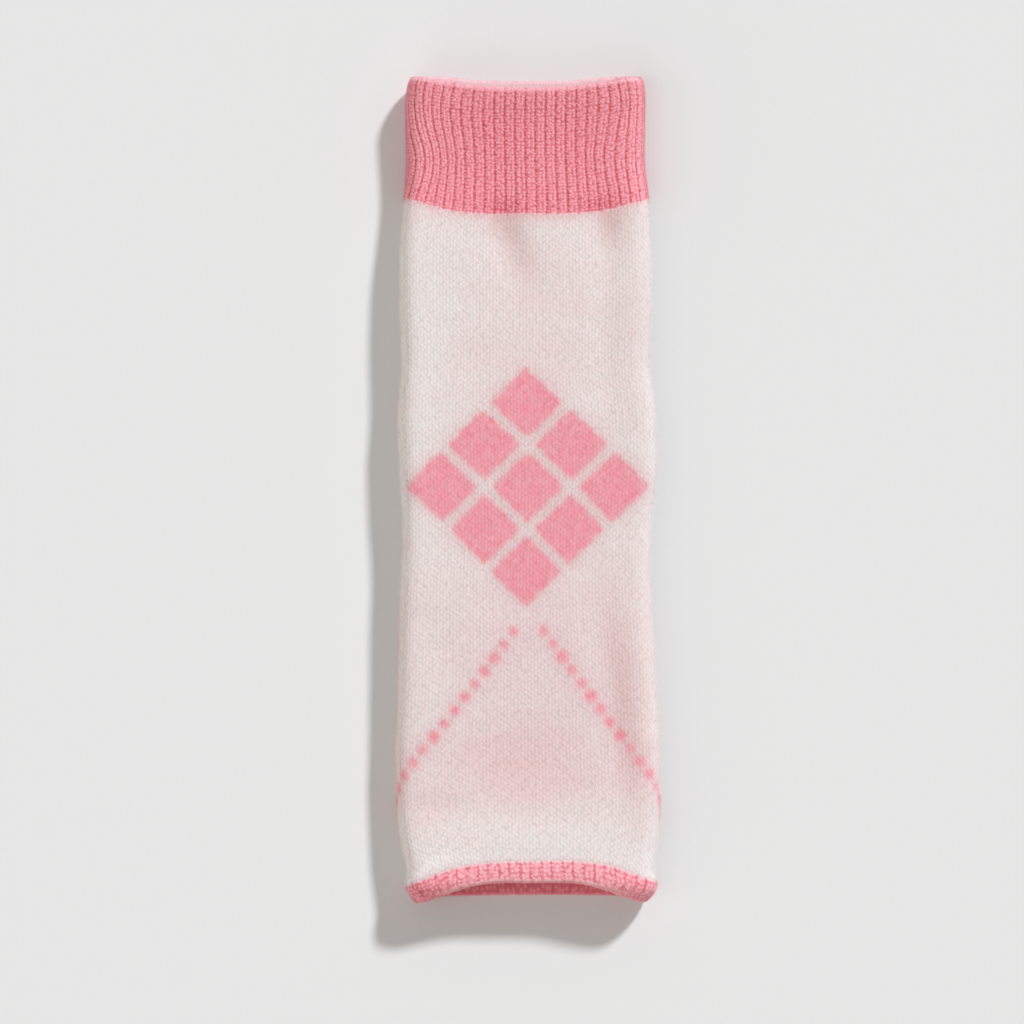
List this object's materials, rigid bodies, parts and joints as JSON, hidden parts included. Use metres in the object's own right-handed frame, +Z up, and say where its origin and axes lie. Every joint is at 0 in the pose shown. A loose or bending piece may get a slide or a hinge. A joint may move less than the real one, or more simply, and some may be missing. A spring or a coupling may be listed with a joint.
{
  "type": "knitted leg warmer",
  "caption": "Knitted leg warmer lying flat: a footless tube of fine plain knit with a ribbed cuff at one end and a narrow ribbed hem band round its open mouth.",
  "frame": {"origin": "on the surface that the leg warmer lies on, under the middle of its length and width", "axes": "+Y along the tube towards the ribbed cuff, +Z up off the surface, X across the tube"},
  "size_m": [0.0952, 0.2981, 0.017],
  "materials": {
    "pale_knit": "matt plain-knit cotton",
    "pink_rib": "matt rib-knit cotton"
  },
  "bodies": {
    "root": {"cuff": "pink_rib", "leg": "pale_knit", "hem": "pink_rib"}
  },
  "joints": []
}
